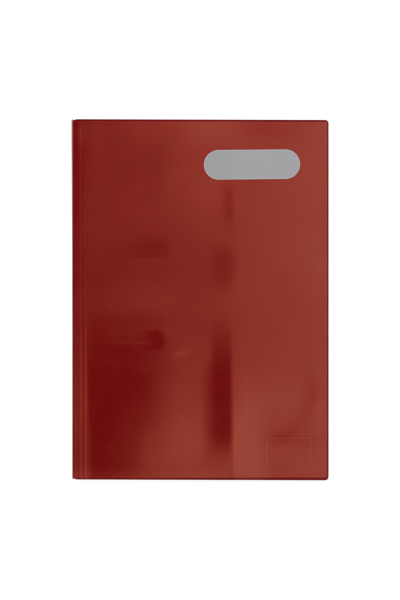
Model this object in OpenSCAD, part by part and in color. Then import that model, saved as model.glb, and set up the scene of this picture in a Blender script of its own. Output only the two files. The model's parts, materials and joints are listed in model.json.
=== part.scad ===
// Soft-cover A4 ring binder, two rings 80 mm apart, lying closed on its back cover.
// +X runs from the spine to the fore edge, +Y to the head of the cover, +Z up.
// The origin is at the centre of the footprint, on the surface that the binder lies on.

/* [Cover] */
// Height of the cover, from foot to head
cover_h = 310; // [302:1:330]
// Width of the back cover, with the spine
cover_w = 221; // [219:1:232]
// Height of the closed binder at its spine
spine_t = 28; // [28:0.5:34]
// Thickness of the outer vinyl sheet
sheet_t = 0.5; // [0.4:0.05:0.6]
// Thickness of the inner vinyl lining
lining_t = 0.3; // [0.2:0.05:0.35]
// Thickness of the vinyl of the inner pockets
flap_t = 0.3; // [0.2:0.05:0.35]
// Width of each inner pocket, back from the fore edge
flap_w = 83.5; // [60:0.5:100]
// Radius of the corners at the fore edge
corner_r = 3; // [1:0.5:8]
// Thickness of the stiffening boards
board_t = 1.2; // [1:0.1:1.4]
// Width of the board that carries the ring mechanism
back_board_w = 40; // [36:1:50]

/* [Front cover marks] */
// Length of the stadium-shaped label patch
label_w = 83.7; // [60:0.1:90]
// Height of the label patch
label_h = 25.7; // [15:0.1:30]
// Thickness of the label patch
label_t = 0.2; // [0.1:0.05:0.4]
// Distance of the label's centre from the fold
label_x = 154.5; // [140:0.5:165]
// Distance of the label's centre from the head of the cover
label_drop = 38.4; // [30:0.1:60]
// Length of the blank embossed frame
emboss_w = 40.5; // [20:0.5:60]
// Height of the blank embossed frame
emboss_h = 22.4; // [10:0.1:40]

/* [Ring mechanism] */
// Distance between the two rings
ring_pitch = 80; // [70:1:84]
// Clear diameter inside each ring
ring_bore = 15; // [15:0.5:16]
// Diameter of the ring wire
wire_d = 2.5; // [2.3:0.1:2.6]
// Distance of the ring centres from the spine's outer face
ring_inset = 18; // [17:0.5:20]
// Length of the arched rail
rail_l = 120; // [120:1:124]
// Width of the arched rail
rail_w = 15; // [15:0.1:15.4]
// Height of the arched rail
rail_h = 5; // [5:0.1:5.3]
// Thickness of the rail's steel
steel_t = 0.8; // [0.7:0.05:0.8]

/* [Hidden] */

eps = 0.01;                // small overrun of a cut past a face
red = "#8c1712";
dark_red = "#7a120f";
grey = "#a19fa1";
board_grey = "#8f8a80";
nickel = "#c4c7c9";
steel = "#a9adb0";

// Cover: the folds are round beads, and the panels hang on their axes
x0 = -cover_w / 2;
fold_r = 1;
fold_gap = 0.2;            // clear gap between a bead and the panel beside it
fold_x = x0 + fold_r;
head_y = cover_h / 2;
pocket_stack = sheet_t + lining_t + flap_t;
shut_gap = 0.3;            // between the two pockets at the fore edge
front_run = cover_w - fold_r - 0.2;
front_drop = spine_t - fold_r - (pocket_stack - fold_r) - pocket_stack - shut_gap;
front_tilt = atan(front_drop / front_run);
front_len = front_run / cos(front_tilt);
panel_start = fold_r + fold_gap;
board_end_gap = 5;         // board's distance from head and foot
wall_end = 2 * fold_r + fold_gap;
ramp_w = 1.5;              // slope where the lining comes down off the board
board_step = 0.3;          // board's distance inside the lining's ramp

// Front cover marks
crease_at = [7, 11.5];     // the two creases, from the fold axis
crease_w = 0.8;
crease_depth = 0.15;
emboss_x = 185.5;
emboss_drop = 285;
emboss_line = 1.2;
emboss_rise = 0.15;

// Ring mechanism: heights are above the lining that the rail stands on
base_z = sheet_t + board_t + lining_t;
rings_x = x0 + ring_inset;
arch_r = 14;
hem_r = 0.6;
hem_x = rail_w / 2 - 1.25;
wire_r = wire_d / 2;
ring_r = ring_bore / 2 + wire_r;
ring_z = 10.9;
shank_angle = 32;          // angle at which a ring meets its shank
shank_x = ring_r * sin(shank_angle);
shank_top = ring_z - ring_r * cos(shank_angle);
shank_foot = 1.38;
tip_angle = 0.33;          // half of the gap between two ring tips
plate_t = 0.9;
plate_pivot_x = 6.1;
plate_pivot_z = 1.95;
plate_reach = 6;           // from the pivot to the inner edge
plate_shut_angle = 4;
plate_l = 117.2;
notch_w = 3.3;
notch_x = 3;
notch_z = 1.5;

// Levers at the two ends of the rail
pin_y = rail_l / 2 + 2;
pin_z = 2.9;
pin_r = 0.8;
pin_clear = 0.05;
ear_r = 2.6;
ear_in = 57;
end_cut_y = 56.3;
end_cut_w = 9.8;
hub_r = 1.7;
hub_w = 12.8;
nose_arm = 4.6;            // from the pin to the noses
nose_r = 0.35;
nose_w = 2;
low_nose_z = 0.5;
high_nose_z = 2.55;
tab_angle = 50;
tab_l = 12.5;
tab_t = 1.2;
tab_corner_r = 3;
lip_r = 0.9;

// Rivets
rivet_y = 50;
rivet_r = 1.8;
rivet_clear = 0.12;
rivet_head_r = 3.6;
rivet_head_rise = 1.2;
rivet_head_edge = 0.2;     // height of the head's edge over the top of the arch
rivet_room_r = 2.6;
cap_r = 4.2;
cap_hole_r = 4.4;
cap_floor = 0.05;
touch = 0.02;              // running gap between pieces that bear on each other

// A flat blank from x = from to x = to, with round corners at the fore edge
module blank_2d(from, to) {
    mid = to - corner_r;
    translate([from, -head_y]) square([mid - from, cover_h]);
    translate([from, corner_r - head_y]) square([to - from, cover_h - 2 * corner_r]);
    for (side = [-1, 1])
        translate([mid, side * (head_y - corner_r)]) circle(r = corner_r, $fn = 64);
}

module blank(from, to, z, t) {
    translate([0, 0, z]) linear_extrude(t) blank_2d(from, to);
}

// A straight bead of round section along a fold
module fold_bead() {
    rotate([90, 0, 0]) cylinder(r = fold_r, h = cover_h, center = true, $fn = 64);
}

// A board strip, short of head and foot
module board(from, to, z) {
    length = cover_h - 2 * board_end_gap;
    translate([from, -length / 2, z]) cube([to - from, length, board_t]);
}

// Puts front cover pieces, drawn flat from the fold axis, on the closed slope
module on_front() {
    translate([fold_x, 0, spine_t - fold_r]) rotate([0, front_tilt, 0]) children();
}

// Puts mechanism pieces on the lining, at the rings' centre line
module on_back() {
    translate([rings_x, 0, base_z]) children();
}

module rivet_holes(r) {
    for (side = [-1, 1])
        translate([rings_x, side * rivet_y, -1]) cylinder(r = r, h = spine_t, $fn = 48);
}

module back_outer_sheet() {
    color(red) difference() {
        union() {
            translate([fold_x, 0, fold_r]) fold_bead();
            blank(fold_x, x0 + cover_w, 0, sheet_t);
        }
        rivet_holes(cap_hole_r);
    }
}

module back_board() {
    from = x0 + wall_end + board_step;
    color(board_grey) difference() {
        board(from, from + back_board_w, sheet_t);
        rivet_holes(rivet_r + rivet_clear);
    }
}

// The lining lies over the board, and comes down beside it to the outer sheet
module back_lining() {
    from = x0 + wall_end + 0.1;
    top = x0 + wall_end + board_step + back_board_w + board_step;
    low = top + ramp_w;
    to = x0 + cover_w;
    high_z = sheet_t + board_t;
    slant = lining_t / 2;
    color(dark_red) difference() {
        intersection() {
            rotate([90, 0, 0]) linear_extrude(cover_h, center = true) polygon([
                [from, high_z], [top, high_z], [low, sheet_t], [to, sheet_t],
                [to, sheet_t + lining_t], [low + slant, sheet_t + lining_t],
                [top + slant, high_z + lining_t], [from, high_z + lining_t]]);
            blank(from, to, 0, base_z + 1);
        }
        rivet_holes(rivet_r + rivet_clear);
    }
}

module back_pocket_flap() {
    to = x0 + cover_w;
    color(dark_red) blank(to - flap_w, to, sheet_t + lining_t, flap_t);
}

// Upright strip of the spine, between the two folds
module spine_strip(from, t, inset) {
    length = cover_h - 2 * inset;
    height = spine_t - 2 * wall_end;
    translate([x0 + from, -length / 2, wall_end]) cube([t, length, height]);
}

module spine_outer_sheet() {
    height = spine_t - fold_r - wall_end;
    color(red) union() {
        translate([fold_x, 0, spine_t - fold_r]) fold_bead();
        translate([x0, -head_y, wall_end]) cube([sheet_t, cover_h, height]);
    }
}

module spine_board() {
    color(board_grey) spine_strip(sheet_t, board_t, board_end_gap);
}

module spine_lining() {
    color(dark_red) spine_strip(sheet_t + board_t, lining_t, 0);
}

// The outer sheet has two long creases and a blank embossed frame
module front_outer_sheet() {
    color(red) on_front() {
        difference() {
            blank(panel_start, front_len, fold_r - sheet_t, sheet_t);
            for (at = crease_at)
                translate([at - crease_w / 2, -head_y - 1, fold_r - crease_depth])
                    cube([crease_w, cover_h + 2, 1]);
        }
        translate([emboss_x, head_y - emboss_drop, fold_r - eps])
            linear_extrude(emboss_rise + eps) difference() {
                square([emboss_w, emboss_h], center = true);
                square([emboss_w - 2 * emboss_line, emboss_h - 2 * emboss_line], center = true);
            }
    }
}

module front_lining() {
    color(dark_red) on_front()
        blank(panel_start, front_len, fold_r - sheet_t - lining_t, lining_t);
}

module front_pocket_flap() {
    color(dark_red) on_front()
        blank(front_len - flap_w, front_len, fold_r - pocket_stack, flap_t);
}

module label_patch() {
    end_x = label_w / 2 - label_h / 2;
    color(grey) on_front() translate([label_x, head_y - label_drop, fold_r])
        linear_extrude(label_t) {
            square([2 * end_x, label_h], center = true);
            for (side = [-1, 1])
                translate([side * end_x, 0]) circle(d = label_h, $fn = 96);
        }
}

// Cross-section of an arch of half width w and height h, on the radius r
module arch_2d(w, h, r) {
    intersection() {
        translate([0, h - r]) circle(r = r, $fn = 180);
        translate([-w, 0]) square([2 * w, h]);
    }
}

// Sheet steel arch with a rolled hem along each side
module rail_2d() {
    difference() {
        arch_2d(rail_w / 2, rail_h, arch_r);
        translate([0, -eps]) arch_2d(rail_w / 2 - steel_t, rail_h - steel_t + eps, arch_r - steel_t);
    }
    for (side = [-1, 1])
        translate([side * hem_x, hem_r]) circle(r = hem_r, $fn = 32);
}

// Flat ear that carries one end of a lever's pin
module ear_2d() {
    translate([ear_in, 0]) square([pin_y + ear_r - ear_in, pin_z]);
    translate([pin_y, pin_z]) circle(r = ear_r, $fn = 64);
}

module rail_housing() {
    wire_notch = [rail_w / 2 + 1 - notch_x, notch_w, rail_h];
    color(nickel) on_back() difference() {
        union() {
            difference() {
                rotate([90, 0, 0]) linear_extrude(rail_l, center = true) rail_2d();
                for (end = [0, 180]) rotate([0, 0, end])
                    translate([-end_cut_w / 2, end_cut_y, -1]) cube([end_cut_w, 10, rail_h + 2]);
            }
            for (end = [0, 180], side = [-1, 1]) rotate([0, 0, end])
                translate([side * (rail_w - steel_t) / 2, 0, 0]) rotate([90, 0, 90])
                    linear_extrude(steel_t, center = true) ear_2d();
        }
        for (y = [-1, 1]) {
            translate([notch_x, y * ring_pitch / 2 - notch_w / 2, notch_z]) cube(wire_notch);
            translate([-notch_x - wire_notch[0], y * ring_pitch / 2 - notch_w / 2, notch_z])
                cube(wire_notch);
            translate([0, y * rivet_y, -1]) cylinder(r = rivet_r + rivet_clear, h = 10, $fn = 48);
            translate([-rail_w, y * pin_y, pin_z]) rotate([0, 90, 0])
                cylinder(r = pin_r, h = 2 * rail_w, $fn = 32);
        }
    }
}

// Left hinge plate: it turns on its outer edge, and carries one half of each ring
module hinge_plate() {
    translate([-plate_pivot_x, 0, plate_pivot_z]) rotate([90, plate_shut_angle, 0])
        linear_extrude(plate_l, center = true) {
            circle(d = plate_t, $fn = 32);
            translate([0, -plate_t / 2]) square([plate_reach, plate_t]);
        }
}

module drilled_plate() {
    difference() {
        hinge_plate();
        for (y = [-1, 1]) {
            translate([-shank_x, y * ring_pitch / 2, 0])
                cylinder(r = wire_r + touch, h = rail_h, $fn = 48);
            translate([0, y * rivet_y, -1]) cylinder(r = rivet_room_r, h = 10, $fn = 48);
        }
    }
}

module hinge_plate_left() {
    color(steel) on_back() drilled_plate();
}

module hinge_plate_right() {
    color(steel) on_back() mirror([1, 0, 0]) drilled_plate();
}

// Left half of a ring: an arc from the tip down to an elbow, and a shank into the plate
module half_ring() {
    sweep = 180 - shank_angle - tip_angle;
    translate([0, 0, ring_z]) rotate([90, 0, 0]) rotate([0, 0, 90 + tip_angle])
        rotate_extrude(angle = sweep, $fn = 96) translate([ring_r, 0]) circle(r = wire_r, $fn = 32);
    translate([-shank_x, 0, shank_top]) sphere(r = wire_r, $fn = 32);
    translate([-shank_x, 0, shank_foot]) cylinder(r = wire_r, h = shank_top - shank_foot, $fn = 32);
}

module ring_at(end) {
    color(nickel) on_back() translate([0, end * ring_pitch / 2, 0]) children();
}

module ring_head_left() {
    ring_at(1) half_ring();
}

module ring_head_right() {
    ring_at(1) mirror([1, 0, 0]) half_ring();
}

module ring_foot_left() {
    ring_at(-1) half_ring();
}

module ring_foot_right() {
    ring_at(-1) mirror([1, 0, 0]) half_ring();
}

// Outline of the thumb tab, from the pin outwards
module tab_2d() {
    half = hub_w / 2;
    translate([-half, 0]) square([hub_w, tab_l - tab_corner_r]);
    translate([tab_corner_r - half, 0]) square([hub_w - 2 * tab_corner_r, tab_l]);
    for (side = [-1, 1])
        translate([side * (half - tab_corner_r), tab_l - tab_corner_r])
            circle(r = tab_corner_r, $fn = 48);
}

// Two prongs that hold the plates' ends between them, seen along the pin
module prongs_2d() {
    low = low_nose_z - pin_z;
    high = high_nose_z - pin_z;
    bar_low = 0.1;
    bar_high = 0.9;
    translate([-nose_arm, low - nose_r]) square([nose_arm, 2 * nose_r]);
    translate([-nose_arm, low]) circle(r = nose_r, $fn = 32);
    translate([-hub_r, low - nose_r]) square([hub_r, -low]);
    translate([-nose_arm - nose_r, bar_low]) square([nose_arm, bar_high - bar_low]);
    translate([-nose_arm - nose_r, high]) square([2 * nose_r, bar_high - high]);
    translate([-nose_arm, high]) circle(r = nose_r, $fn = 32);
}

module lever() {
    translate([0, pin_y, pin_z]) difference() {
        union() {
            rotate([0, 90, 0]) cylinder(r = hub_r, h = hub_w, center = true, $fn = 64);
            rotate([90, 0, 90]) linear_extrude(nose_w, center = true) prongs_2d();
            rotate([tab_angle, 0, 0]) {
                translate([0, 0, -tab_t / 2]) linear_extrude(tab_t) tab_2d();
                translate([0, tab_l - lip_r / 2, 0]) rotate([0, 90, 0])
                    cylinder(r = lip_r, h = hub_w - 2 * tab_corner_r, center = true, $fn = 32);
            }
        }
        rotate([0, 90, 0]) cylinder(r = pin_r + pin_clear, h = 2 * hub_w, center = true, $fn = 32);
    }
}

module lever_head() {
    color(nickel) on_back() lever();
}

module lever_foot() {
    color(nickel) on_back() rotate([0, 0, 180]) lever();
}

// Pin riveted over outside both ears
module lever_pin() {
    head_r = 1.3;
    head_t = 0.4;
    translate([0, pin_y, pin_z]) rotate([0, 90, 0]) {
        cylinder(r = pin_r, h = rail_w + 2 * head_t, center = true, $fn = 32);
        for (side = [-1, 1])
            translate([0, 0, side * (rail_w + head_t) / 2])
                cylinder(r = head_r, h = head_t, center = true, $fn = 32);
    }
}

module lever_pin_head() {
    color(steel) on_back() lever_pin();
}

module lever_pin_foot() {
    color(steel) on_back() rotate([0, 0, 180]) lever_pin();
}

// Domed rivet: its head sits on the arch, and its shank goes down to the cap
module rivet() {
    rise = rivet_head_rise - rivet_head_edge;
    dome_r = (rivet_head_r * rivet_head_r + rise * rise) / (2 * rise);
    translate([0, rivet_y, 0]) {
        difference() {
            intersection() {
                translate([0, 0, rail_h + rivet_head_rise - dome_r]) sphere(r = dome_r, $fn = 96);
                translate([0, 0, rail_h - 1]) cylinder(r = rivet_head_r, h = 4, $fn = 64);
            }
            translate([0, 0, rail_h - arch_r]) rotate([90, 0, 0])
                cylinder(r = arch_r + touch, h = 20, center = true, $fn = 180);
        }
        translate([0, 0, 2 * cap_floor - base_z])
            cylinder(r = rivet_r, h = rail_h + base_z, $fn = 48);
    }
}

module rivet_head() {
    color(nickel) on_back() rivet();
}

module rivet_foot() {
    color(nickel) on_back() rotate([0, 0, 180]) rivet();
}

// Round cap under the board, pressed on the end of the rivet
module rivet_cap(end) {
    color(nickel) translate([rings_x, end * rivet_y, cap_floor]) difference() {
        cylinder(r = cap_r, h = sheet_t - cap_floor, $fn = 64);
        translate([0, 0, -1]) cylinder(r = rivet_r + touch, h = 4, $fn = 48);
    }
}

module rivet_cap_head() {
    rivet_cap(1);
}

module rivet_cap_foot() {
    rivet_cap(-1);
}

back_outer_sheet();
back_lining();
back_pocket_flap();
back_board();
spine_outer_sheet();
spine_lining();
spine_board();
front_outer_sheet();
front_lining();
front_pocket_flap();
label_patch();
rail_housing();
hinge_plate_left();
hinge_plate_right();
ring_head_left();
ring_head_right();
ring_foot_left();
ring_foot_right();
lever_head();
lever_foot();
lever_pin_head();
lever_pin_foot();
rivet_head();
rivet_foot();
rivet_cap_head();
rivet_cap_foot();
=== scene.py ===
"""Looks of a soft vinyl A4 ring binder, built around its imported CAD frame."""
import json
import math

import bmesh
import bpy
import numpy as np
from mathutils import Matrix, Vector


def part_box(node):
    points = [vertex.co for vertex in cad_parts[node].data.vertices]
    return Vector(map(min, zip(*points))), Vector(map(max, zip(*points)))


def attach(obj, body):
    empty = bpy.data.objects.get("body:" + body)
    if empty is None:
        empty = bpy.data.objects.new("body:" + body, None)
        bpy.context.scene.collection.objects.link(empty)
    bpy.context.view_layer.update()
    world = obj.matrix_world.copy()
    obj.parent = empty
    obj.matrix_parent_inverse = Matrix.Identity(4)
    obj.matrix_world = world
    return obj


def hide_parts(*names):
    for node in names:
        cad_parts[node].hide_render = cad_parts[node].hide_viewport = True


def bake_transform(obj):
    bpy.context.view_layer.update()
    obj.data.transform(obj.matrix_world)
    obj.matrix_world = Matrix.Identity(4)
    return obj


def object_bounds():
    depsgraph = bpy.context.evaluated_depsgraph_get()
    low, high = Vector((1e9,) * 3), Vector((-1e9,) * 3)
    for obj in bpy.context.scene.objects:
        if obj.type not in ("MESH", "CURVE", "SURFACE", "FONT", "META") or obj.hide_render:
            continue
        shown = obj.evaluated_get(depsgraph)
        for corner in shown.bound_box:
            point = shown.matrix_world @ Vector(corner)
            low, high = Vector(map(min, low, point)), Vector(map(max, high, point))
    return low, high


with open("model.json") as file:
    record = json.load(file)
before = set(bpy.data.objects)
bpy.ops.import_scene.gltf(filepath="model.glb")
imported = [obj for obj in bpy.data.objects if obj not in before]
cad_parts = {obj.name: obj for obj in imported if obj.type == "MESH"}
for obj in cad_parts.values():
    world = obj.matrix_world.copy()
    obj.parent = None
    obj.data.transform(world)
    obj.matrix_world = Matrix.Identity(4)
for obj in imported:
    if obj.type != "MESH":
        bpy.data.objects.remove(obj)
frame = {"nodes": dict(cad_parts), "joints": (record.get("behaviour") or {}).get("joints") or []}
cad_low, cad_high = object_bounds()

# ---------------------------------------------------------------- sizes, in millimetres, read from the frame
MM = 0.001
JOINTS = {joint["name"]: joint for joint in frame["joints"]}


def box_mm(node):
    """Lowest and highest corner of a CAD node, in millimetres."""
    low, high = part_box(node)
    return np.array(low) / MM, np.array(high) / MM


BACK_LOW, BACK_HIGH = box_mm("back_outer_sheet")
BOARD_LOW, BOARD_HIGH = box_mm("back_board")
LINING_LOW, LINING_HIGH = box_mm("back_lining")
FLAP_LOW, FLAP_HIGH = box_mm("back_pocket_flap")
FRONT_LOW, FRONT_HIGH = box_mm("front_outer_sheet")
LABEL_LOW, LABEL_HIGH = box_mm("label_patch")

HEAD = BACK_HIGH[1]                              # half of the cover's height
SPINE_X = BACK_LOW[0]
FORE_X = BACK_HIGH[0]
THICKNESS = cad_high.z / MM
SHEET = BOARD_LOW[2]
LINING = LINING_HIGH[2] - BOARD_HIGH[2]
FLAP = FLAP_HIGH[2] - FLAP_LOW[2]
FLAP_W = FLAP_HIGH[0] - FLAP_LOW[0]
STACK = SHEET + LINING + FLAP
AXIS_X = JOINTS["spine_fold"]["pos_m"][0] / MM
BACK_AXIS_Z = JOINTS["spine_fold"]["pos_m"][2] / MM
FRONT_AXIS_Z = JOINTS["front_fold"]["pos_m"][2] / MM
FOLD_R = AXIS_X - SPINE_X


def front_slope():
    """Slope of the closed front cover and its length from the fold axis, from the corners of its box."""
    across = FRONT_HIGH[0] - AXIS_X
    down = FRONT_AXIS_Z - FRONT_LOW[2]
    slope = 0.0
    for _ in range(6):                           # each round brings the slope closer
        slope = math.atan2(down + (FOLD_R - SHEET) * math.cos(slope), across - FOLD_R * math.sin(slope))
    return slope, (across - FOLD_R * math.sin(slope)) / math.cos(slope)


TILT, FRONT_LENGTH = front_slope()
BACK_LENGTH = FORE_X - AXIS_X
POCKET_U = FRONT_LENGTH - FLAP_W                 # where the front pocket's mouth is, from the fold axis
LABEL_U = ((LABEL_LOW[0] + LABEL_HIGH[0]) / 2 - AXIS_X) / math.cos(TILT)
LABEL_V = (LABEL_LOW[1] + LABEL_HIGH[1]) / 2
LABEL_H = LABEL_HIGH[1] - LABEL_LOW[1]
LABEL_W = (LABEL_HIGH[0] - LABEL_LOW[0]) / math.cos(TILT)
LABEL_TURN = math.radians(0.7)                   # the label is welded on slightly out of square
LABEL_SHIFT = -0.4
LABEL_INSET = 0.5                                # from the label's outline to the middle of its weld bead
CREASES = (7.0, 11.1)                            # the two creases beside each fold, from its axis
EMBOSS_U, EMBOSS_V = 186.3, HEAD - 285.0         # centre of the blank embossed frame
EMBOSS_W, EMBOSS_H = 40.5, 22.4
RIM_W = 1.0                                      # width of the welded rim
INSET = RIM_W - 0.1                              # from a free edge to the edge of a lining or a pocket
SPINE_RIM, FOLD_RIM = 0.9, 0.8                   # thickness of the rim along the spine and round a fold
CORNER_R = 3.0
PINCH = 1.1                                      # how far a fold's ends draw in at the head and the foot
FOOT_FLARE = 0.009                               # slant of the foot edge, as a share of half the height
FILM_GAP, POCKET_GAP = 0.03, 0.13                # gaps under a lining and under a pocket's film
EDGE = (0.4, 0.1)                                # reach and step of the closer grid lines at a cut edge
ARC = FOLD_R * (math.pi / 2 + TILT)              # length of the outer sheet round the front fold
BACK_ARC = FOLD_R * math.pi / 2
BACK_DEPTH = 0.66                                # tone of the back and the spine, from 0, light, to 1, deep
HALF_SPINE = THICKNESS / 2 - FOLD_R


# ---------------------------------------------------------------- shapes of the soft sheets
def bell(u, v, at, size, turn=0.0):
    """A smooth round hill of height 1."""
    c, s = math.cos(turn), math.sin(turn)
    du, dv = u - at[0], v - at[1]
    return np.exp(-0.5 * (((du * c + dv * s) / size[0]) ** 2 + ((dv * c - du * s) / size[1]) ** 2))


def ramp(x, start, stop):
    """0 before start, 1 after stop, and smooth between."""
    t = np.clip((x - start) / (stop - start), 0, 1)
    return t * t * (3 - 2 * t)


def ridge(x, centre, half_width):
    """A smooth line of height 1, along centre."""
    return np.exp(-((x - centre) / half_width) ** 2)


def edge_distance(u, v, length):
    """Distance from the nearest free edge of a panel: head, foot or fore edge."""
    return np.minimum(HEAD - np.abs(v), length - u)


def weld_distance(u, v):
    """Distance inside the front's welded rim, which is a little wider along the head."""
    return np.minimum(np.minimum(HEAD - v - 0.6, HEAD + v), FRONT_LENGTH - u)


def pocket_lift(v):
    """How high the mouth of the front pocket lifts the outer sheet, along the cover's height."""
    def along(centre, spread):
        return np.exp(-0.5 * ((v - centre) / spread) ** 2)
    return 0.16 + 0.6 * along(-84, 27) + 0.25 * along(27, 14) + 0.2 * along(80, 16)


def front_waves(u, v):
    """Height of the front sheet's soft waves over its flat plane."""
    fade = 1 - np.exp(-(np.maximum(edge_distance(u, v, FRONT_LENGTH), 0) / 9) ** 2)
    fade = fade * ramp(u, 3, 22)
    shape = 1.25 * bell(u, v, (66, -116), (27, 46), 0.25)
    shape += 0.5 * bell(u, v, (70, 96), (40, 40))
    shape += 0.35 * bell(u, v, (182, -20), (40, 70))
    shape -= 0.35 * bell(u, v, (112, -60), (16, 60))
    shape -= 0.25 * bell(u, v, (64, 42), (17, 7))
    shape += 0.07 * np.sin(u / 17 + 0.6) * np.sin(v / 23 + 1.1)
    shape += 0.05 * np.sin(u / 9.5 + v / 31) * np.cos(v / 13.5 + 0.4)
    climb = np.clip((u - (POCKET_U - 17)) / 17, 0, 1)
    level = np.clip((u - POCKET_U) / 70, 0, 1)
    shape += pocket_lift(v) * (climb ** 1.8 - 0.45 * level)
    return shape * fade


def press_marks(u, v):
    """Small marks that the rings and the contents have pressed into the front sheet."""
    fore = ramp(u, 18, 26) * (1 - ramp(u, 58, 66))
    shape = 0.09 * ridge(v, -37.5 - (u - 20) * 0.03, 0.9) * fore
    shape -= 0.05 * ridge(v, -53, 0.8) * ramp(u, 18, 24) * (1 - ramp(u, 36, 44))
    dent = np.hypot((u - 69) / 10.5, (v + 35.5) / 7.5)
    shape -= 0.16 * (1 - ramp(dent, 0.55, 1.0))
    band = ramp(u, 44, 58) * (1 - ramp(u, 80, 88))
    shape -= 0.06 * ridge(v, 49.5, 0.9) * band
    shape -= 0.05 * ridge(v, 35.5, 0.9) * band
    shape += 0.13 * bell(u, v, (92.5, -47.5), (5, 2.0), 0.3)
    shape += 0.04 * ridge(v, -47.5, 0.7) * ramp(u, 150, 160) * (1 - ramp(u, 190, 197))
    shape -= 0.16 * bell(u, v, (207, -84), (2.6, 5.5), -0.5)
    shape -= 0.2 * bell(u, v, (199, -104), (4.5, 22), -0.62)
    shape -= 0.08 * bell(u, v, (170, 148), (26, 2.5))
    return shape


def emboss_distance(u, v):
    """Distance outside the embossed frame's outline, less than 0 inside it."""
    return np.maximum(np.abs(u - EMBOSS_U) - EMBOSS_W / 2, np.abs(v - EMBOSS_V) - EMBOSS_H / 2)


def emboss(u, v):
    """A blank rectangular frame, raised on the sheet, with soft shoulders."""
    outside = emboss_distance(u, v)
    return 0.15 * ridge(outside, -0.5, 0.55) - 0.05 * ridge(outside, -1.8, 0.7)


def creases(u):
    """The two creases beside a fold, with low shoulders."""
    shape = 0.0
    for at in CREASES:
        shape = shape - 0.08 * ridge(u, at, 0.6) + 0.03 * ridge(u, at - 1.5, 0.9)
        shape = shape + 0.02 * ridge(u, at + 1.5, 0.9)
    return shape


def weld_line(e):
    """The welded line beside the rim: a groove, and a low shoulder inside it."""
    return -0.13 * ridge(e, 1.75, 0.45) + 0.04 * ridge(e, 2.9, 0.7)


def rim(e, upper, lower):
    """Upper and lower faces near a free edge, rounded over the rim."""
    middle = (upper + lower) / 2
    half = (upper - lower) / 2
    roundness = np.sqrt(np.clip(1 - (1 - np.clip(e / 0.3, 0, 1)) ** 2, 0, 1))
    return middle + half * roundness, middle - half * roundness


def front_outer(u, v):
    """Outer face of the front sheet, over the fold axis."""
    e = edge_distance(u, v, FRONT_LENGTH)
    return FOLD_R + front_waves(u, v) + (press_marks(u, v) + emboss(u, v) + creases(u)) * ramp(e, 1, 4)


def back_waves(u, v):
    """How far the back sheet rises off the table, clear of the board."""
    fade = 1 - np.exp(-(np.maximum(edge_distance(u, v, BACK_LENGTH), 0) / 12) ** 2)
    shape = 0.16 + 0.1 * np.sin(u / 19 + 1.0) * np.sin(v / 27) + 0.05 * np.sin(u / 11 - v / 17)
    return shape * fade * ramp(u, BOARD_HIGH[0] - AXIS_X + 4, BOARD_HIGH[0] - AXIS_X + 22)


# ---------------------------------------------------------------- places: sheet coordinates to the frame
def round_corners(u, v, length):
    """Moves the points of each fore-edge corner's square on to its quarter circle."""
    a = np.clip((u - (length - CORNER_R)) / CORNER_R, 0, 1)
    b = np.clip((np.abs(v) - (HEAD - CORNER_R)) / CORNER_R, 0, 1)
    corner = (a > 0) & (b > 0)
    ru = length - CORNER_R + CORNER_R * a * np.sqrt(1 - b * b / 2)
    rv = np.sign(v) * (HEAD - CORNER_R + CORNER_R * b * np.sqrt(1 - a * a / 2))
    return np.where(corner, ru, u), np.where(corner, rv, v)


def spine_bulge(v):
    """How far the outer sheet stands off the spine's board: most towards the head."""
    return 0.35 * ramp(v, -110, 20) + 0.75 * ramp(v, 20, 165)


def wrap_place(axis_z, side, tilt, arc, length):
    """Place function of a sheet that runs along half the spine, round a fold, and over a panel.

    side is 1 for the front fold and -1 for the back one. The path runs from minus HALF_SPINE, at the
    middle of the spine, to 0 at the fold, and on to arc + length at the fore edge."""
    def place(p, v, h):
        s = p - arc
        su, sv = round_corners(s, v, length)
        on_arc = (p >= 0) & (s < 0)
        angle = math.pi - (math.pi / 2 + tilt) * np.clip(p / arc, 0, 1)
        loose = spine_bulge(v) * (1 - ramp(p, -HALF_SPINE, -1.5))
        if side > 0:
            flare = FOOT_FLARE * np.clip(s / length, 0, 1)
            v = v * (1 + flare * ramp(-v, 0, 60))
            sv = sv * (1 + flare * ramp(-sv, 0, 60))
        pinch = PINCH * ridge(p, arc / 2, 2.0)
        y = np.where(s < 0, v, sv) - np.sign(v) * pinch * ramp(np.abs(v), HEAD - 12, HEAD)
        x = -loose + np.where(p < 0, AXIS_X - h, np.where(
            on_arc, AXIS_X + h * np.cos(angle), AXIS_X + su * math.cos(tilt) + h * math.sin(tilt)))
        z = np.where(p < 0, axis_z + side * p, np.where(
            on_arc, axis_z + side * h * np.sin(angle),
            axis_z + side * (h * math.cos(tilt) - su * math.sin(tilt))))
        return np.stack([x, y, z], -1) * MM
    return place


front_place = wrap_place(FRONT_AXIS_Z, 1, TILT, ARC, FRONT_LENGTH)
back_place = wrap_place(BACK_AXIS_Z, -1, 0.0, BACK_ARC, BACK_LENGTH)


def on_front(u, v, h):
    """A place on the closed front, at height h over its fold axis."""
    return front_place(u + ARC, v, h)


def on_table(x, y, z):
    """A place on the back cover, in the frame's own directions."""
    return np.stack([x, y, z], -1) * MM


def on_spine(z, y, depth):
    """A place at a depth inside the spine's outer face."""
    return np.stack([SPINE_X + depth, y, z], -1) * MM


# ---------------------------------------------------------------- meshes
def lines(start, stop, step, *fine):
    """Grid lines from start to stop, with (centre, reach, step) for each place that needs closer ones."""
    marks = set(np.round(np.linspace(start, stop, max(2, int(round((stop - start) / step)) + 1)), 4))
    for centre, reach, close in fine:
        near = np.arange(centre - reach, centre + reach + close / 2, close)
        marks = {m for m in marks if abs(m - centre) > reach + close * 0.6 or m in (start, stop)}
        marks |= {round(float(m), 4) for m in near if start < m < stop}
    ordered = sorted(float(m) for m in marks)
    kept = [ordered[0]]
    for m in ordered[1:]:
        if m - kept[-1] > 0.03:
            kept.append(m)
    return np.array(kept)


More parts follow.
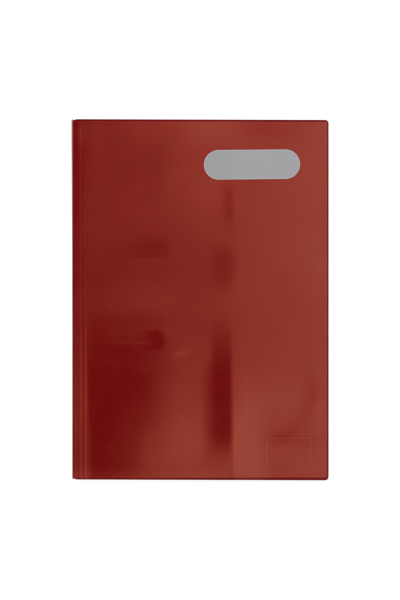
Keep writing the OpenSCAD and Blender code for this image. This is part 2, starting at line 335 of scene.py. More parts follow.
def height_lines(step, *fine):
    """Grid lines of a lining or a pocket from foot to head, closer at its two cut edges."""
    return lines(INSET - HEAD, HEAD - INSET, step, *fine, (INSET - HEAD, *EDGE), (HEAD - INSET, *EDGE))


# distances of the grid lines from a welded edge, closest over the rim's round and the weld line
RIM_STEPS = (0.0, 0.03, 0.08, 0.16, 0.3, 0.7, 1.0, 1.35, 1.55, 1.75, 1.95, 2.2, 2.6, 3.0, 3.6)


def with_rim(marks, low_edge, high_edge):
    """Adds the rim's own lines at one or both ends of a set of grid lines."""
    reach = RIM_STEPS[-1]
    low, high = marks[0], marks[-1]
    inner = [m for m in marks if (not low_edge or m > low + reach + 0.3)
             and (not high_edge or m < high - reach - 0.3)]
    starts = [low + r for r in RIM_STEPS] if low_edge else []
    stops = [high - r for r in RIM_STEPS] if high_edge else []
    return np.array(sorted(starts + inner + stops))


def as_object(name, vertices, faces, body=None):
    """A new smooth piece, riding on body where one is given."""
    mesh = bpy.data.meshes.new(name)
    mesh.from_pydata(vertices, [], faces)
    mesh.validate()
    work = bmesh.new()
    work.from_mesh(mesh)
    bmesh.ops.remove_doubles(work, verts=work.verts, dist=2e-6)
    bmesh.ops.recalc_face_normals(work, faces=work.faces)
    work.to_mesh(mesh)
    work.free()
    mesh.polygons.foreach_set("use_smooth", [True] * len(mesh.polygons))
    mesh.set_sharp_from_angle(angle=math.radians(60))
    piece = bpy.data.objects.new(name, mesh)
    bpy.context.scene.collection.objects.link(piece)
    if body:
        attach(piece, body)
    return piece


def closed_sheet(name, above, under, body):
    """A closed sheet between two grids of points, with a wall round their borders."""
    nu, nv = above.shape[:2]
    index = np.arange(nu * nv).reshape(nu, nv)
    below = index + nu * nv
    top = np.stack([index[:-1, :-1], index[1:, :-1], index[1:, 1:], index[:-1, 1:]], -1).reshape(-1, 4)
    bottom = np.stack([below[:-1, :-1], below[:-1, 1:], below[1:, 1:], below[1:, :-1]], -1).reshape(-1, 4)
    border = np.concatenate([index[:, 0], index[-1, 1:], index[-2::-1, -1], index[0, -2:0:-1]])
    after = np.roll(border, -1)
    side = np.stack([border, border + nu * nv, after + nu * nv, after], -1)
    vertices = np.concatenate([above.reshape(-1, 3), under.reshape(-1, 3)])
    faces = np.concatenate([top, bottom, side])
    return as_object(name, vertices.tolist(), faces.tolist(), body)


def slab(name, u_lines, v_lines, place, faces_of, body=None):
    """A closed sheet: faces_of(u, v) gives its upper and lower height, and place puts them in the frame."""
    u, v = np.meshgrid(u_lines, v_lines, indexing="ij")
    upper, lower = faces_of(u, v)
    return closed_sheet(name, place(u, v, upper), place(u, v, lower), body)


def stadium(name, centre, width, height, place, faces_of, body):
    """A closed stadium-shaped patch. faces_of(u, v, e) gives its faces at distance e inside its outline."""
    half = height / 2
    flat = width / 2 - half                      # half the length of the straight part
    tip = flat + half - 0.01
    turns = np.linspace(0.5, 1, 15)[:-1] * math.pi
    round_end = -flat + half * np.cos(turns[::-1])
    straight = np.linspace(-flat, flat, 34)[1:]
    across = np.concatenate([[-tip], round_end[1:], straight, -round_end[-2::-1], [tip]])
    across = np.unique(np.round(across, 4))
    share = np.sin(np.linspace(-0.5, 0.5, 25) * math.pi)
    u, t = np.meshgrid(across, share, indexing="ij")
    past_flat = np.maximum(np.abs(u) - flat, 0)
    v = t * np.sqrt(np.maximum(half ** 2 - past_flat ** 2, 0.02))
    e = np.maximum(half - np.hypot(past_flat, v), 0)
    u, v = u + centre[0], v + centre[1]
    upper, lower = faces_of(u, v, e)
    return closed_sheet(name, place(u, v, upper), place(u, v, lower), body)


def tube(name, path, radius, place, body, squash=1.0, sides=10):
    """A closed loop of round or flattened section along path, a list of (u, v, h)."""
    path = np.array(path)
    ahead = np.roll(path, -1, 0) - np.roll(path, 1, 0)
    ahead /= np.linalg.norm(ahead[:, :2], axis=1)[:, None]
    out = np.stack([ahead[:, 1], -ahead[:, 0]], -1)
    turn = np.linspace(0, 2 * math.pi, sides, endpoint=False)
    u = path[:, 0:1] + out[:, 0:1] * radius * np.cos(turn)
    v = path[:, 1:2] + out[:, 1:2] * radius * np.cos(turn)
    h = path[:, 2:3] + radius * squash * np.sin(turn)
    n = len(path)
    index = np.arange(n * sides).reshape(n, sides)
    faces = np.stack([index, np.roll(index, -1, 1), np.roll(np.roll(index, -1, 0), -1, 1),
                      np.roll(index, -1, 0)], -1).reshape(-1, 4)
    return as_object(name, place(u, v, h).reshape(-1, 3).tolist(), faces.tolist(), body)


# ---------------------------------------------------------------- materials
def material(name):
    """A new node material, its node tree, and its shader."""
    made = bpy.data.materials.new(name)
    made.use_nodes = True
    return made, made.node_tree, made.node_tree.nodes["Principled BSDF"]


def depth_tone(tree):
    """The tone that write_depth stores on a piece."""
    made = tree.nodes.new("ShaderNodeAttribute")
    made.attribute_name = "depth"
    return made.outputs["Fac"]


def noise(tree, scale, detail=3.0, roughness=0.5, stretch=(1, 1, 1)):
    """Noise in the frame's own coordinates; scale is in features a metre."""
    place = tree.nodes.new("ShaderNodeTexCoord")
    mapping = tree.nodes.new("ShaderNodeMapping")
    mapping.inputs["Scale"].default_value = stretch
    made = tree.nodes.new("ShaderNodeTexNoise")
    made.inputs["Scale"].default_value = scale
    made.inputs["Detail"].default_value = detail
    made.inputs["Roughness"].default_value = roughness
    tree.links.new(place.outputs["Object"], mapping.inputs["Vector"])
    tree.links.new(mapping.outputs["Vector"], made.inputs["Vector"])
    return made.outputs["Fac"]


def remap(tree, source, low, high, to_low, to_high):
    """Stretches a value's range from low..high to to_low..to_high."""
    made = tree.nodes.new("ShaderNodeMapRange")
    for key, value in zip(("From Min", "From Max", "To Min", "To Max"), (low, high, to_low, to_high)):
        made.inputs[key].default_value = value
    tree.links.new(source, made.inputs["Value"])
    return made.outputs["Result"]


def varied(tree, low, high, scale, detail=3.0, roughness=0.5, stretch=(1, 1, 1)):
    """A value that noise moves from low to high, held at both ends."""
    return remap(tree, noise(tree, scale, detail, roughness, stretch), 0.3, 0.7, low, high)


def added(tree, first, second, clamp=False):
    """The sum of two values, kept between 0 and 1 with clamp."""
    made = tree.nodes.new("ShaderNodeMath")
    made.operation = "ADD"
    made.use_clamp = clamp
    tree.links.new(first, made.inputs[0])
    tree.links.new(second, made.inputs[1])
    return made.outputs[0]


def mix_colour(tree, factor, first, second):
    """Mixes two colours, each a tuple or a socket."""
    made = tree.nodes.new("ShaderNodeMix")
    made.data_type = "RGBA"
    tree.links.new(factor, made.inputs["Factor"])
    for socket, value in ((made.inputs[6], first), (made.inputs[7], second)):
        if isinstance(value, tuple):
            socket.default_value = (*value, 1)
        else:
            tree.links.new(value, socket)
    return made.outputs[2]


def bumps(tree, shader, *layers):
    """Bump from (source, strength, distance) layers, one over the other."""
    normal = None
    for source, strength, distance in layers:
        made = tree.nodes.new("ShaderNodeBump")
        made.inputs["Strength"].default_value = strength
        made.inputs["Distance"].default_value = distance
        tree.links.new(source, made.inputs["Height"])
        if normal is not None:
            tree.links.new(normal, made.inputs["Normal"])
        normal = made.outputs["Normal"]
    tree.links.new(normal, shader.inputs["Normal"])


def linear(red, green, blue):
    """Linear colour of an 8-bit display colour."""
    def one(c):
        c = c / 255
        return c / 12.92 if c <= 0.04045 else ((c + 0.055) / 1.055) ** 2.4
    return one(red), one(green), one(blue)


def vinyl(name, light, deep, roughness, grain=1.0, middle=None):
    """Calendered vinyl: mottled colour, uneven gloss, fine grain and faint scuffs.

    With a middle colour, the piece's own depth attribute, which holds painted reflection and shade as well as
    tone, sets the colour from light to deep."""
    made, tree, shader = material(name)
    pebbles = varied(tree, -0.035, 0.035, 850, 2, 0.6)
    rough = varied(tree, roughness - 0.02, roughness + 0.04, 60, 4, 0.6)
    if middle is None:
        tone = added(tree, varied(tree, 0.2, 0.7, 22, 4, 0.6), pebbles)
        colour = mix_colour(tree, tone, light, deep)
    else:
        depth = depth_tone(tree)
        mottle = added(tree, varied(tree, -0.05, 0.05, 22, 4, 0.6), pebbles)
        tone = added(tree, depth, mottle, clamp=True)
        colour = mix_colour(tree, remap(tree, tone, 0, 0.5, 0, 1), light, middle)
        colour = mix_colour(tree, remap(tree, tone, 0.5, 1, 0, 1), colour, deep)
        rough = added(tree, rough, remap(tree, depth, 0, 1, 0, -0.03))
    specks = remap(tree, noise(tree, 1500, 2, 0.7), 0.35, 0.65, 0.0, 0.05)
    darker = tuple(c * 0.6 for c in deep)
    tree.links.new(mix_colour(tree, specks, colour, darker), shader.inputs["Base Color"])
    tree.links.new(rough, shader.inputs["Roughness"])
    shader.inputs["Specular IOR Level"].default_value = 0.25
    peel = noise(tree, 700, 3, 0.55)
    fine = noise(tree, 2400, 2, 0.6)
    scuffs = noise(tree, 160, 6, 0.7, (1, 0.12, 1))
    bumps(tree, shader, (peel, 0.2 * grain, 0.0002), (fine, 0.14 * grain, 0.0001),
          (scuffs, 0.06 * grain, 0.0002))
    return made


def plated(name, colour, roughness, brushed=0.0):
    """Nickel or zinc plate: slightly uneven tint and polish, with fine scratches."""
    made, tree, shader = material(name)
    shader.inputs["Metallic"].default_value = 1.0
    darker = tuple(c * 0.86 for c in colour)
    tint = mix_colour(tree, varied(tree, 0, 1, 260, 4, 0.6), colour, darker)
    tree.links.new(tint, shader.inputs["Base Color"])
    polish = varied(tree, roughness * 0.9, roughness * 1.15, 900, 5, 0.7)
    tree.links.new(polish, shader.inputs["Roughness"])
    scratches = noise(tree, 2200, 4, 0.7, (1, 0.04, 1) if brushed else (1, 0.4, 1))
    dents = noise(tree, 420, 2, 0.5)
    bumps(tree, shader, (scratches, 0.02 + brushed, 0.00003), (dents, 0.02, 0.0001))
    return made


def greyboard(name):
    """Grey paperboard with fibres."""
    made, tree, shader = material(name)
    fibres = varied(tree, 0, 1, 1500, 6, 0.75, (1, 0.3, 1))
    colour = mix_colour(tree, fibres, linear(150, 145, 134), linear(118, 112, 102))
    tree.links.new(colour, shader.inputs["Base Color"])
    shader.inputs["Roughness"].default_value = 0.9
    bumps(tree, shader, (noise(tree, 1800, 5, 0.7), 0.4, 0.0002))
    return made


def label_film(name, light, deep):
    """Matt grey film with a fine even grain, darkened by the painted shade stored on the piece. A piece with
    no stored tone stays light.
    """
    made, tree, shader = material(name)
    tone = added(tree, depth_tone(tree), varied(tree, -0.2, 0.2, 500, 5, 0.7), clamp=True)
    tree.links.new(mix_colour(tree, tone, light, deep), shader.inputs["Base Color"])
    tree.links.new(varied(tree, 0.46, 0.56, 90), shader.inputs["Roughness"])
    bumps(tree, shader, (noise(tree, 1900, 3, 0.6), 0.2, 0.0001))
    return made


# the cover's light colour is red with a painted reflection of the studio's light over it; its deep colour is
# the bare red
COVER = vinyl("cover_vinyl", linear(155, 69, 54), linear(108, 0, 2), 0.34, middle=linear(141, 47, 35))
LINING_FILM = vinyl("lining_vinyl", linear(126, 24, 18), linear(104, 12, 12), 0.45, 1.3)
POCKET_FILM = vinyl("pocket_vinyl", linear(132, 26, 19), linear(108, 13, 12), 0.42, 1.1)
# the label's deep grey is its painted shade
LABEL = label_film("label_film", linear(158, 157, 160), linear(152, 151, 154))
LABEL_RIM = label_film("label_rim", linear(176, 186, 193), linear(160, 170, 178))
NICKEL = plated("nickel_plate", (0.64, 0.63, 0.60), 0.34)
WIRE = plated("ring_wire", (0.68, 0.67, 0.65), 0.33)
ZINC = plated("zinc_plate", (0.58, 0.60, 0.62), 0.4, brushed=0.05)
BOARD = greyboard("greyboard")


def finish_with(piece, look):
    """Gives a piece its only material."""
    piece.data.materials.clear()
    piece.data.materials.append(look)


# ---------------------------------------------------------------- tone of the front sheet
def mouth_shade(u, v):
    """Painted shade in the three places where the sheet hangs against the mouth of the pocket."""
    near_foot = ramp(-v, 42, 76)
    lower = 0.45 * ramp(-v, 5, 75) * (1 - ramp(-v, 114, 144))
    lower *= ramp(u, POCKET_U - 21 - 9 * near_foot, POCKET_U - 15 + 4 * near_foot)
    lower *= 1 - ramp(u, POCKET_U - 4, POCKET_U + 1.2)
    middle = 0.16 * ramp(v, 0, 22) * (1 - ramp(v, 34, 52))
    middle *= ramp(u, POCKET_U - 24, POCKET_U - 11) * (1 - ramp(u, POCKET_U - 5, POCKET_U + 6))
    upper = 0.17 * ramp(v, 54, 76) * (1 - ramp(v, 90, 103))
    upper *= ramp(u, POCKET_U - 12, POCKET_U - 4) * (1 - ramp(u, POCKET_U - 2, POCKET_U + 3))
    return lower + middle + upper


def front_tone_and_painted_light(u, v):
    """The front sheet's tone, from 1, a deep red, to 0, a light hazy red: partly the vinyl's own uneven
    colour and partly painted reflection of the studio's light, with painted shade and painted highlights
    along the marks, the weld, the creases and the emboss.
    """
    # painted light: lighter towards the fore edge, most of all towards its foot
    tone = 0.6 - 0.0021 * u - 0.06 * ramp(-v, 20, 110) * ramp(u, 140, 150)
    # deeper red with less painted reflection over the rail's board, towards the foot, with an edge along the
    # inner crease, and a lighter painted band along the fold towards the foot
    deeper_less_sheen = 0.3 * bell(u, v, (19, -98), (9, 34))
    deeper_less_sheen += 0.26 * bell(u, v, (36, -92), (15, 42), 0.12)
    deeper_less_sheen += 0.22 * bell(u, v, (58, -62), (16, 20))
    deeper_less_sheen += 0.12 * bell(u, v, (40, -142), (20, 16))
    inner = 10.8 + 3.4 * ramp(-v, 45, 150)
    tone += deeper_less_sheen * ramp(u, inner, inner + 2.4)
    tone += 0.1 * bell(u, v, (16, -102), (9, 24))
    tone += 0.1 * bell(u, v, (70, -90), (14, 18))
    tone -= 0.14 * ramp(-v, 34, 92) * (1 - ramp(u, 11, 13.5))
    # painted shade over the foot ring's mark, with painted highlights along its edges
    dent = np.hypot(u - np.clip(u, 50, 71), v + 35.2)
    tone += 0.34 * (1 - ramp(dent, 7.2, 9.2)) * ramp(u, 52, 76)
    tone += 0.16 * bell(u, v, (48, -42), (20, 7))
    tone += 0.07 * bell(u, v, (46, -20), (24, 8))
    tone += 0.1 * bell(u, v, (68, -18), (14, 5))
    tone -= 0.2 * ridge(v, -37 - (u - 20) * 0.012, 0.55) * ramp(u, 16, 30) * (1 - ramp(u, 70, 79))
    tone -= 0.06 * ridge(v, -53, 0.6) * ramp(u, 18, 24) * (1 - ramp(u, 36, 44))
    tone -= 0.16 * bell(u, v, (92.5, -47), (6, 2.2), 0.3)
    # painted shade over the head ring's mark, with painted highlight lines along its edges
    over_ring = ramp(u, 36, 60) * (1 - ramp(u, 80, 87))
    tone += 0.15 * bell(u, v, (68, 45), (20, 6.5)) * over_ring
    tone += 0.03 * ramp(v, 33.5, 37) * (1 - ramp(v, 46, 60)) * over_ring
    tone -= 0.05 * (ridge(v, 49.3, 0.5) + ridge(v, 35.4, 0.5)) * over_ring
    tone += 0.04 * ridge(v, 36.4, 0.8) * ramp(u, 20, 26) * (1 - ramp(u, 78, 86))
    # painted shade and lighter painted sheen, with some of the vinyl's own uneven colour, between the rings
    # and the pocket, and along the head
    tone += mouth_shade(u, v)
    tone += 0.06 * bell(u, v, (112, -5), (18, 48))
    tone += 0.09 * bell(u, v, (54, 19), (38, 15))
    tone -= 0.07 * bell(u, v, (46, 4), (26, 14))
    tone -= 0.08 * bell(u, v, (112, 104), (18, 22))
    tone += 0.09 * bell(u, v, (86, 145), (9, 9))
    tone += 0.07 * bell(u, v, (158, 149), (12, 5))
    tone += 0.09 * bell(u, v, (172, 146), (26, 7))
    tone -= 0.2 * ramp(v, 118, 152) * bell(u, v, (112, 150), (40, 60))
    tone -= 0.05 * bell(u, v, (20, 135), (3.5, 20))
    tone -= 0.16 * bell(u, v, (6, 141), (2.5, 9))
    # lighter towards the foot and past the pocket's mouth: painted reflection of the studio's light
    tone -= 0.22 * bell(u, v, (98, -122), (17, 30), 0.2)
    tone -= 0.17 * bell(u, v, (64, -138), (19, 13))
    tone -= 0.05 * bell(u, v, (62.5, -126), (3, 11))
    tone -= 0.08 * bell(u, v, (137, -132), (7, 16))
    tone -= 0.16 * ramp(-v, 144, 153) * (1 - ramp(u, 128, 142))
    tone -= 0.32 * ramp(-v, 50, 140) * ramp(u, POCKET_U - 1, POCKET_U + 3) * (1 - ramp(u, 148, 178))
    # over the pocket: painted shade along a dark arc beside the emboss, painted sheen beside it, and painted
    # shade by the fore edge
    arc = np.hypot(u - 161, v + 78)
    around = np.degrees(np.arctan2(v + 78, u - 161))
    tone += 0.13 * ridge(arc, 45, 7) * ramp(around, -98, -62) * (1 - ramp(around, 2, 34))
    tone -= 0.05 * bell(u, v, (176, -84), (16, 12))
    tone += 0.08 * bell(u, v, (207.5, -84), (1.6, 5), -0.6)
    tone += 0.06 * bell(u, v, (210, -35), (16, 36))
    tone += 0.1 * bell(u, v, (198, -124), (12, 5))
    # painted shade on the welded rim, and painted dark and light lines along the weld line, the fold and the
    # creases
    weld = weld_distance(u, v)
    fore = 0.35 * ramp(u, FRONT_LENGTH - 3, FRONT_LENGTH - 2)
    tone += 0.7 * (1 - ramp(weld - fore, 0.9, 1.5))
    tone += 0.06 * ridge(weld, 3.1, 0.6) - 0.03 * ridge(weld, 2.2, 0.5)
    tone += 0.3 * ridge(u, -1.0, 1.5) + 0.26 * ridge(u, 2.4, 2.6) * ramp(v, 10, 80)
    strip = 0.01 + 0.12 * ramp(-v, -30, 60)
    for dark, light in ((4.2, 6.7), (8.5, 10.3)):
        tone += (strip + 0.04) * ridge(u, dark, 0.9) - strip * ridge(u, light, 0.8)
    tone += 0.07 * ridge(u, 8, 5) * ramp(v, 20, 80)
    # painted shade just outside the embossed frame, a painted highlight along its inner edge and a lighter
    # painted band across it
    outside = emboss_distance(u, v)
    tone += 0.08 * ridge(outside, 0.2, 0.6) - 0.09 * ridge(outside, -0.9, 0.6)
    tone -= 0.05 * bell(u, v, (EMBOSS_U - 2, EMBOSS_V + 1), (15, 2.2))
    return 1 - (1 - np.clip(tone, 0, 1)) ** 2


def write_depth(piece, depth_of):
    """Stores the tone of each vertex, with any painted light and shade that depth_of gives, from its place on
    the closed front, for the piece's material.

    The spine's wall has the even tone of the back."""
    co = np.array([vertex.co for vertex in piece.data.vertices]) / MM
    u = (co[:, 0] - AXIS_X) * math.cos(TILT) - (co[:, 2] - FRONT_AXIS_Z) * math.sin(TILT)
    depth = depth_of(u, co[:, 1])
    wall = (co[:, 0] < AXIS_X - 0.2) * (1 - ramp(co[:, 2], FRONT_AXIS_Z - 6, FRONT_AXIS_Z - 1))
    depth = depth + (BACK_DEPTH - depth) * wall
    attribute = piece.data.attributes.new("depth", "FLOAT", "POINT")
    attribute.data.foreach_set("value", depth.astype(np.float32))


# ---------------------------------------------------------------- the cover
def cover_heights(arc, length, outer, side_weld):
    """Faces of an outer sheet along its whole path, from the middle of the spine to the fore edge."""
    def faces_of(p, v):
        u = p - arc
        face = np.where(u > 0, outer(np.maximum(u, 0), v), FOLD_R)
        e = np.where(u > 0, edge_distance(u, v, length), HEAD - np.abs(v))
        upper = face + side_weld(e)
        stack = np.where(u > 4, STACK, np.where(p < -2.5, SPINE_RIM, FOLD_RIM))
        in_rim = ramp(e, RIM_W + 0.25, RIM_W - 0.05)
        lower = face - SHEET - (stack - SHEET) * in_rim
        return rim(e, upper, lower)
    return faces_of


# closer grid lines of the front sheet: creases, pocket's mouth, emboss and fold, then emboss and ring marks
FRONT_FINE = [(ARC + at, 2.0, 0.25) for at in CREASES]
FRONT_FINE += [(ARC + POCKET_U, 4.0, 0.7)]
FRONT_FINE += [(ARC + EMBOSS_U + side * EMBOSS_W / 2 - side * 0.5, 2.0, 0.25) for side in (-1, 1)]
FRONT_FINE += [(ARC / 2, ARC / 2, ARC / 8)]
V_FINE = [(EMBOSS_V + side * EMBOSS_H / 2 - side * 0.5, 2.0, 0.25) for side in (-1, 1)]
V_FINE += [(-38.5, 3.0, 0.4), (-53, 1.6, 0.4), (-47.3, 2.0, 0.4), (49.5, 1.8, 0.45), (35.5, 1.8, 0.45)]


def make_front_cover():
    """The outer sheet of the front, with the upper half of the spine."""
    p_lines = with_rim(lines(-HALF_SPINE, ARC + FRONT_LENGTH, 2.4, *FRONT_FINE), False, True)
    v_lines = with_rim(lines(-HEAD, HEAD, 2.4, *V_FINE), True, True)
    piece = slab("outer_sheet_front", p_lines, v_lines, front_place,
                 cover_heights(ARC, FRONT_LENGTH, front_outer, weld_line))
    finish_with(piece, COVER)
    write_depth(piece, front_tone_and_painted_light)
    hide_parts("front_outer_sheet", "spine_outer_sheet")
    bend_at_fold(piece)


def bend_at_fold(piece):
    """Bakes the sheet's transform into its mesh."""
    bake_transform(piece)


def back_outer(u, v):
    """Outer face of the back sheet, under the fold axis."""
    return FOLD_R - back_waves(u, v) - np.abs(creases(u)) * 0.6


def make_back_cover():
    """The outer sheet of the back, with the lower half of the spine."""
    fine = [(BACK_ARC + at, 2.0, 0.3) for at in CREASES] + [(BACK_ARC / 2, BACK_ARC / 2, BACK_ARC / 8)]
    p_lines = with_rim(lines(-HALF_SPINE, BACK_ARC + BACK_LENGTH, 4.0, *fine), False, True)
    v_lines = with_rim(lines(-HEAD, HEAD, 4.0), True, True)
    piece = slab("outer_sheet_back", p_lines, v_lines, back_place,
                 cover_heights(BACK_ARC, BACK_LENGTH, back_outer, lambda e: -0.16 * ridge(e, 1.75, 0.4)))
    cut_rivet_holes(piece)
    finish_with(piece, COVER)
    write_depth(piece, lambda u, v: np.full_like(u, BACK_DEPTH))
    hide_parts("back_outer_sheet")
    bend_at_fold(piece)


def cut_rivet_holes(piece):
    """Opens a round hole in the back sheet for each rivet cap, 0.2 mm clear of it all round."""
    for cap in ("rivet_cap_head", "rivet_cap_foot"):
        low, high = box_mm(cap)
        radius = ((high[0] - low[0]) / 2 + 0.2) * MM
        work = bmesh.new()
        bmesh.ops.create_cone(work, cap_ends=True, segments=64, radius1=radius, radius2=radius, depth=6 * MM)
        mesh = bpy.data.meshes.new("rivet_cutter")
        work.to_mesh(mesh)
        work.free()
        cutter = bpy.data.objects.new("rivet_cutter", mesh)
        cutter.location = (low + high) / 2 * MM
        bpy.context.scene.collection.objects.link(cutter)
        bpy.context.view_layer.update()
        cut = piece.modifiers.new("hole", "BOOLEAN")
        cut.operation = "DIFFERENCE"
        cut.object = cutter
        cut.solver = "EXACT"
        apply_modifiers(piece)
        bpy.data.objects.remove(cutter)


def apply_modifiers(piece):
    """Bakes a piece's modifiers into its mesh."""
    graph = bpy.context.evaluated_depsgraph_get()
    mesh = bpy.data.meshes.new_from_object(piece.evaluated_get(graph))
    piece.modifiers.clear()
    piece.data = mesh


def film(upper, thickness, e):
    """A thin film under the height upper, with its cut edges rounded."""
    half = thickness / 2 * np.sqrt(np.clip(1 - (1 - np.clip(e / 0.12, 0, 1)) ** 2, 0.05, 1))
    return upper - thickness / 2 + half, upper - thickness / 2 - half


def make_front_lining():
    """The front cover's lining, against the outer sheet."""
    start = 1.3                                  # just past the fold's round

    def faces_of(u, v):
        e = np.minimum(edge_distance(u, v, FRONT_LENGTH) - INSET, u - start)
        soft = 0.05 * np.sin(u / 7 + v / 19) * ramp(e, 2, 14)
        under = FOLD_R + front_waves(u, v) - SHEET - FILM_GAP - 0.06 * ramp(e, 0, 8) + np.minimum(soft, 0)
        return film(under + creases(u) * 0.7, LINING, e)

    stop = FRONT_LENGTH - INSET
    fine = [(at, 2.0, 0.3) for at in CREASES] + [(POCKET_U, 3.0, 1.0)]
    u_lines = lines(start, stop, 3.0, *fine, (start, *EDGE), (stop, *EDGE))
    piece = slab("lining_front", u_lines, height_lines(3.0), on_front, faces_of, "front_cover")
    finish_with(piece, LINING_FILM)
    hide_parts("front_lining")


def pocket_gape(u, v, mouth, length):
    """How far the pocket's film stands off the lining: most at the middle of its mouth."""
    along = np.cos(np.clip(v / HEAD, -1, 1) * math.pi / 2) ** 0.7
    return along * (0.75 * np.exp(-((u - mouth) / 26) ** 2) + 0.12 * ramp(length - u, 0, 12))


def pocket_hem(past_mouth):
    """The thickened hem along a pocket's mouth, with a groove beside it."""
    return 0.12 * ridge(past_mouth, 0.8, 0.7) - 0.05 * ridge(past_mouth, 2.6, 0.4)


def make_front_pocket():
    """The film of the front pocket, under the front's lining."""
    def faces_of(u, v):
        e = np.minimum(edge_distance(u, v, FRONT_LENGTH) - INSET, u - POCKET_U)
        gap = POCKET_GAP + pocket_gape(u, v, POCKET_U, FRONT_LENGTH)
        upper, lower = film(FOLD_R + front_waves(u, v) - SHEET - LINING - gap, FLAP, e)
        return upper, lower - pocket_hem(u - POCKET_U)

    stop = FRONT_LENGTH - INSET
    u_lines = lines(POCKET_U, stop, 3.0, (POCKET_U, 4.0, 0.3), (stop, *EDGE))
    piece = slab("pocket_front", u_lines, height_lines(3.0), on_front, faces_of, "front_cover")
    finish_with(piece, POCKET_FILM)
    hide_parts("front_pocket_flap")


def over_board(x, y):
    """1 over the mechanism's board and 0 past its edges, with a short slope between."""
    past_x = np.maximum(BOARD_LOW[0] - x, x - BOARD_HIGH[0])
    past_y = np.abs(y) - BOARD_HIGH[1]
    return 1 - ramp(np.maximum(past_x, past_y), 0.25, 2.4)


def make_back_lining():
    """The back cover's lining, which steps up over the mechanism's board."""
    start = LINING_LOW[0] - 0.9
    stop = FORE_X - INSET

    def faces_of(x, y):
        u = x - AXIS_X
        e = np.minimum(edge_distance(u, y, BACK_LENGTH) - INSET, x - start)
        base = SHEET + FILM_GAP + back_waves(u, y) + 0.06 * ramp(e, 0, 8)
        rise = (BOARD_HIGH[2] - BOARD_LOW[2]) * over_board(x, y)
        return film(base + rise + LINING, LINING, e)

    u_lines = lines(start, stop, 4.0, (BOARD_HIGH[0] + 1.3, 2.4, 0.4), (start + 1.2, 1.2, 0.2), (stop, *EDGE))
    v_lines = height_lines(4.0, (-BOARD_HIGH[1] - 1.3, 2.4, 0.4), (BOARD_HIGH[1] + 1.3, 2.4, 0.4))
    piece = slab("lining_back", u_lines, v_lines, on_table, faces_of, "back_cover")
    finish_with(piece, LINING_FILM)
    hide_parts("back_lining")


def make_back_pocket():
    """The film of the back pocket, over the back's lining."""
    mouth = FLAP_LOW[0]
    stop = FORE_X - INSET

    def faces_of(x, y):
        u = x - AXIS_X
        e = np.minimum(edge_distance(u, y, BACK_LENGTH) - INSET, x - mouth)
        gap = POCKET_GAP + pocket_gape(x, y, mouth, FORE_X)
        upper, lower = film(SHEET + LINING + gap + back_waves(u, y) + FLAP, FLAP, e)
        return upper + pocket_hem(x - mouth), lower

    u_lines = lines(mouth, stop, 4.0, (mouth, 4.0, 0.3), (stop, *EDGE))
    piece = slab("pocket_back", u_lines, height_lines(4.0), on_table, faces_of, "back_cover")
    finish_with(piece, POCKET_FILM)
    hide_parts("back_pocket_flap")


def make_spine_lining():
    """The spine's lining, over its board."""
    low, high = box_mm("spine_board")
    reach = 0.9                                  # past the board, towards each fold

    def faces_of(z, y):
        past = np.maximum(np.maximum(low[2] - z, z - high[2]), np.abs(y) - high[1])
        e = np.minimum(HEAD - INSET - np.abs(y), np.minimum(z - low[2], high[2] - z) + reach)
        rise = SHEET + 0.04 + (high[0] - low[0]) * (1 - ramp(past, 0.05, reach))
        outer, inner = film(-rise, LINING, e)
        return -outer, -inner

    steps = ((low[2] - 0.4, 0.6, 0.15), (high[2] + 0.4, 0.6, 0.15))
    u_lines = lines(low[2] - reach, high[2] + reach, 2.0, *steps)
    v_lines = height_lines(4.0, (-high[1] - 0.5, 0.8, 0.15), (high[1] + 0.5, 0.8, 0.15))
    piece = slab("lining_spine", u_lines, v_lines, on_spine, faces_of, "spine")
    finish_with(piece, LINING_FILM)
    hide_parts("spine_lining")


def label_painted_shade(u, v):
    """The label's painted shade: deeper before the pocket's mouth than past it, and a little deeper towards
    the fold.
    """
    return 0.75 - 0.5 * ramp(u, POCKET_U - 1, POCKET_U + 1) - 0.1 * (u - LABEL_U) / LABEL_W


def make_label():
    """The welded label patch, with a thin weld bead round it."""
    thickness = 0.2
    bead_radius = 0.32

    def on_label(u, v, h):
        """The label's own square, turned and shifted over the cover."""
        du, dv = u - LABEL_U, v - LABEL_V
        c, s = math.cos(LABEL_TURN), math.sin(LABEL_TURN)
        nu, nv = LABEL_U + du * c - dv * s, LABEL_V + LABEL_SHIFT + dv * c + du * s
        return on_front(nu, nv, h + front_outer(nu, nv))

    def faces_of(u, v, e):
        shoulder = np.sqrt(np.clip(1 - (1 - np.clip(e / 0.35, 0, 1)) ** 2, 0.02, 1))
        dip = -0.1 * ridge(e, 0.9, 0.35)
        return 0.02 + (thickness + dip) * shoulder, np.full_like(u, -0.05)

    width, height = LABEL_W - 2 * LABEL_INSET, LABEL_H - 2 * LABEL_INSET
    piece = stadium("label_patch_film", (LABEL_U, LABEL_V), width, height, on_label, faces_of, "front_cover")
    finish_with(piece, LABEL)
    write_depth(piece, label_painted_shade)
    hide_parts("label_patch")
    half, flat = height / 2, (width - height) / 2
    turns = np.linspace(0, math.pi, 41)
    straight = np.linspace(-flat, flat, 30)[1:-1]
    loop = [(flat + half * math.sin(t), half * math.cos(t)) for t in turns]
    loop += [(x, -half) for x in straight[::-1]]
    loop += [(-flat - half * math.sin(t), -half * math.cos(t)) for t in turns]
    loop += [(x, half) for x in straight]
    path = [(LABEL_U + a, LABEL_V + b, thickness * 0.3) for a, b in loop]
    bead = tube("label_weld_bead", path, bead_radius, on_label, "front_cover", squash=0.6)
    finish_with(bead, LABEL_RIM)


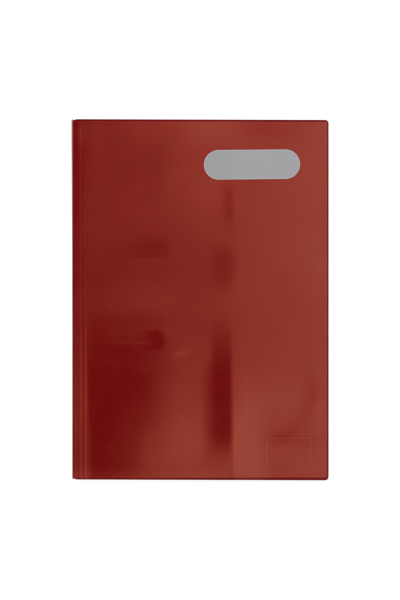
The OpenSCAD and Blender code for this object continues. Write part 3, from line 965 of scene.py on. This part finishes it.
# ---------------------------------------------------------------- metal and board pieces from the frame
def dress_metal():
    """Gives each carried-over CAD node its material, and all but the rings a soft edge."""
    nickel_parts = ("rail_housing", "lever_head", "lever_foot")
    looks = {name: (NICKEL, "nickel_plate") for name in nickel_parts}
    for name in frame["nodes"]:
        if name.startswith("ring_"):
            looks[name] = (WIRE, "ring_wire")
        elif name.startswith("rivet_"):
            looks[name] = (NICKEL, "rivet_steel")
        elif name.startswith(("hinge_plate", "lever_pin")):
            looks[name] = (ZINC, "bare_steel")
        elif name.endswith("_board"):
            looks[name] = (BOARD, "grey_board")
    for name, (look, slot_name) in looks.items():
        piece = frame["nodes"][name]
        finish_with(piece, look)
        if not name.startswith("ring_"):
            soften = piece.modifiers.new("soft_edges", "BEVEL")
            soften.width = (0.18 if name in nickel_parts else 0.1) * MM
            soften.segments = 2
            soften.limit_method = "ANGLE"
            soften.angle_limit = math.radians(40)
            soften.harden_normals = True


# ---------------------------------------------------------------- stage, light and camera
def make_stage():
    """A pale floor just under the back cover, which glows a little so that it stays an even white."""
    bpy.ops.mesh.primitive_plane_add(size=40, location=(0, 0, -0.4 * MM))
    floor = bpy.context.object
    floor.name = "floor"
    made, _, shader = material("floor_white")
    shader.inputs["Base Color"].default_value = (0.35, 0.35, 0.35, 1)
    shader.inputs["Roughness"].default_value = 0.9
    shader.inputs["Specular IOR Level"].default_value = 0.0
    shader.inputs["Emission Color"].default_value = (1, 1, 1, 1)
    shader.inputs["Emission Strength"].default_value = 0.88
    floor.data.materials.append(made)


def make_world():
    """A dim studio, brighter at the horizon than overhead, so that the glossy vinyl keeps its colour."""
    world = bpy.data.worlds.new("studio")
    bpy.context.scene.world = world
    world.use_nodes = True
    tree = world.node_tree
    place = tree.nodes.new("ShaderNodeTexCoord")
    split = tree.nodes.new("ShaderNodeSeparateXYZ")
    tree.links.new(place.outputs["Generated"], split.inputs[0])
    level = remap(tree, split.outputs["Z"], 0.0, 0.9, 0.42, 0.02)
    background = tree.nodes["Background"]
    background.inputs["Color"].default_value = (1.0, 0.995, 0.985, 1)
    tree.links.new(level, background.inputs["Strength"])


def area_light(name, place, power):
    """A square soft light, aimed at the middle of the binder."""
    data = bpy.data.lights.new(name, "AREA")
    data.size = 0.9
    data.energy = power
    lamp = bpy.data.objects.new(name, data)
    lamp.location = place
    lamp.rotation_euler = (-Vector(place)).to_track_quat("-Z", "Y").to_euler()
    bpy.context.scene.collection.objects.link(lamp)


def make_camera():
    """Straight down on the front cover, from far off, as flat as the real view."""
    frame_long = 0.5170                          # metres that the frame's long side spans at the cover
    across, along = -0.65 * MM, -0.6 * MM        # the photo's middle is this far from the binder's
    lens = 400.0
    data = bpy.data.cameras.new("camera")
    data.sensor_width = 36.0
    data.lens = lens
    data.clip_end = 60
    camera = bpy.data.objects.new("camera", data)
    camera.location = (across, along, frame_long * lens / data.sensor_width + THICKNESS * MM / 2)
    bpy.context.scene.collection.objects.link(camera)
    bpy.context.scene.camera = camera


make_camera()
make_front_cover()
make_back_cover()
make_front_lining()
make_front_pocket()
make_back_lining()
make_back_pocket()
make_spine_lining()
make_label()
dress_metal()
make_stage()
make_world()
area_light("key", (-1.05, 0.55, 1.2), 16.0)
area_light("fill", (1.2, 0.35, 1.15), 10.5)
area_light("head", (0.2, 1.45, 1.2), 9.5)
area_light("foot", (-0.2, -1.45, 1.2), 8.5)

view = bpy.context.scene.view_settings
view.view_transform = "Standard"
view.look = "None"
